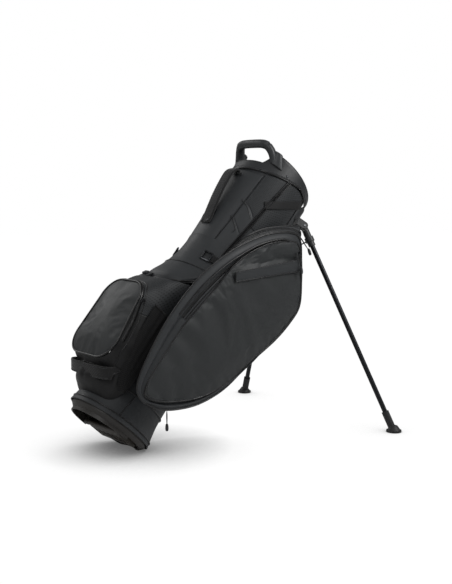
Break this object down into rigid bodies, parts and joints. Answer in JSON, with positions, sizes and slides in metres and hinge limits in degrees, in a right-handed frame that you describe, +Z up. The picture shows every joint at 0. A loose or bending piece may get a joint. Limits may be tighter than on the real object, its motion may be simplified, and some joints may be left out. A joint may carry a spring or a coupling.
{
  "type": "golf stand bag",
  "caption": "Leaning golf stand bag with open hinged legs, moulded collar and grab handle, divided mouth, zipped side pockets, ball pocket and carry handle.",
  "frame": {"origin": "middle of the flat patch of the base that rests on the floor, with the bag leaning on its open legs", "axes": "+X forward from the base to the feet, +Y to the bag's far side, +Z up"},
  "size_m": [0.8281, 0.6898, 0.8018],
  "materials": {
    "coated_fabric": "matt coated polyester with a fine grain",
    "pocket_fabric": "matt woven nylon",
    "mesh": "open black mesh",
    "webbing": "woven nylon webbing",
    "moulded_plastic": "matt moulded nylon",
    "grip_rubber": "soft-touch rubber",
    "foot_rubber": "matt moulded rubber",
    "leg_aluminium": "satin dark anodised",
    "steel": "zinc plated",
    "stay_rod": "pultruded glass fibre",
    "black_hardware": "black plated",
    "pull_cord": "cord with a moulded end"
  },
  "bodies": {
    "bag": {"body_shell": "coated_fabric", "stay_rods": "stay_rod", "collar": "moulded_plastic", "collar_rivets": "black_hardware", "grab_handle": "grip_rubber", "handle_screws": "black_hardware", "top_divider": "moulded_plastic", "divider_sleeves": "pocket_fabric", "base_cup": "moulded_plastic", "paddle_pin": "steel", "leg_bracket": "moulded_plastic", "pivot_pins": "steel", "actuator_guide": "moulded_plastic", "saddle": "coated_fabric", "spine_panel": "coated_fabric", "ball_pocket": "pocket_fabric", "ball_zip_slider": "black_hardware", "near_pocket": "pocket_fabric", "near_pocket_panel": "coated_fabric", "near_pocket_band": "coated_fabric", "far_pocket": "pocket_fabric", "far_pocket_panel": "coated_fabric", "near_bottle_sleeve": "mesh", "far_bottle_sleeve": "mesh", "carry_handle": "webbing", "carry_rivets": "black_hardware", "low_handle": "webbing", "strap_tabs": "webbing", "elastic_band": "webbing", "near_zip_slider": "black_hardware", "upper_zip_slider": "black_hardware", "low_zip_slider": "black_hardware"},
    "paddle": {"foot_paddle": "foot_rubber"},
    "near_leg": {"near_leg_socket": "moulded_plastic", "near_leg_tube": "leg_aluminium", "near_leg_foot": "foot_rubber", "near_leg_clip": "moulded_plastic"},
    "far_leg": {"far_leg_socket": "moulded_plastic", "far_leg_tube": "leg_aluminium", "far_leg_foot": "foot_rubber", "far_leg_clip": "moulded_plastic"},
    "actuator": {"actuator_rods": "steel"},
    "near_link": {"near_link": "steel"},
    "far_link": {"far_link": "steel"},
    "flap": {"ball_flap": "coated_fabric"},
    "near_ring": {"near_strap_ring": "black_hardware"},
    "far_ring": {"far_strap_ring": "black_hardware"},
    "near_pull": {"near_zip_pull": "pull_cord"},
    "upper_pull": {"upper_zip_pull": "pull_cord"},
    "low_pull": {"low_zip_pull": "pull_cord"}
  },
  "joints": [
    {"name": "near_leg_swing", "type": "hinge", "parent": "bag", "child": "near_leg", "pos_m": [0.54771, -0.058, 0.55972], "axis": [0.3794, 0.8599, -0.3416], "range_deg": [0, 56.1]},
    {"name": "far_leg_swing", "type": "hinge", "parent": "bag", "child": "far_leg", "pos_m": [0.54771, 0.058, 0.55972], "axis": [-0.3794, 0.8599, 0.3416], "range_deg": [0, 56.1]},
    {"name": "actuator_slide", "type": "slide", "parent": "bag", "child": "actuator", "axis": [-0.6691, 0, -0.7431], "range_m": [0, 0.0321]},
    {"name": "paddle_swing", "type": "hinge", "parent": "bag", "child": "paddle", "pos_m": [-0.08554, 0, 0.06416], "axis": [0, 1, 0], "range_deg": [0, 20.9]},
    {"name": "near_link_swing", "type": "hinge", "parent": "actuator", "child": "near_link", "pos_m": [0.43552, -0.014, 0.45755], "axis": [-0.4555, -0.8396, 0.2959], "range_deg": [0, 14.79]},
    {"name": "far_link_swing", "type": "hinge", "parent": "actuator", "child": "far_link", "pos_m": [0.43552, 0.014, 0.45755], "axis": [0.4555, -0.8396, -0.2959], "range_deg": [0, 14.79]},
    {"name": "ball_flap_fold", "type": "hinge", "parent": "bag", "child": "flap", "pos_m": [-0.13849, 0, 0.26159], "axis": [0, -1, 0], "range_deg": [0, 75]},
    {"name": "near_ring_swing", "type": "hinge", "parent": "bag", "child": "near_ring", "pos_m": [0.19709, -0.07981, 0.48788], "axis": [0.6691, 0, 0.7431], "range_deg": [0, 100]},
    {"name": "far_ring_swing", "type": "hinge", "parent": "bag", "child": "far_ring", "pos_m": [0.19709, 0.07981, 0.48788], "axis": [-0.6691, 0, -0.7431], "range_deg": [0, 100]},
    {"name": "near_pull_swing", "type": "hinge", "parent": "bag", "child": "near_pull", "pos_m": [0.42245, -0.175, 0.49085], "axis": [0, 1, 0], "range_deg": [-60, 60]},
    {"name": "upper_pull_swing", "type": "hinge", "parent": "bag", "child": "upper_pull", "pos_m": [0.44833, -0.151, 0.53752], "axis": [0, 1, 0], "range_deg": [-60, 4]},
    {"name": "low_pull_swing", "type": "hinge", "parent": "bag", "child": "low_pull", "pos_m": [0.01727, -0.131, 0.11558], "axis": [0, 1, 0], "range_deg": [-60, 60]}
  ],
  "couplings": [
    {"joint": "far_leg_swing", "follows": "near_leg_swing", "ratio": 1},
    {"joint": "actuator_slide", "follows": "near_leg_swing", "m_per_rad": 0.032682},
    {"joint": "paddle_swing", "follows": "near_leg_swing", "ratio": 0.37077},
    {"joint": "near_link_swing", "follows": "near_leg_swing", "ratio": 0.26187},
    {"joint": "far_link_swing", "follows": "near_leg_swing", "ratio": 0.26187}
  ]
}
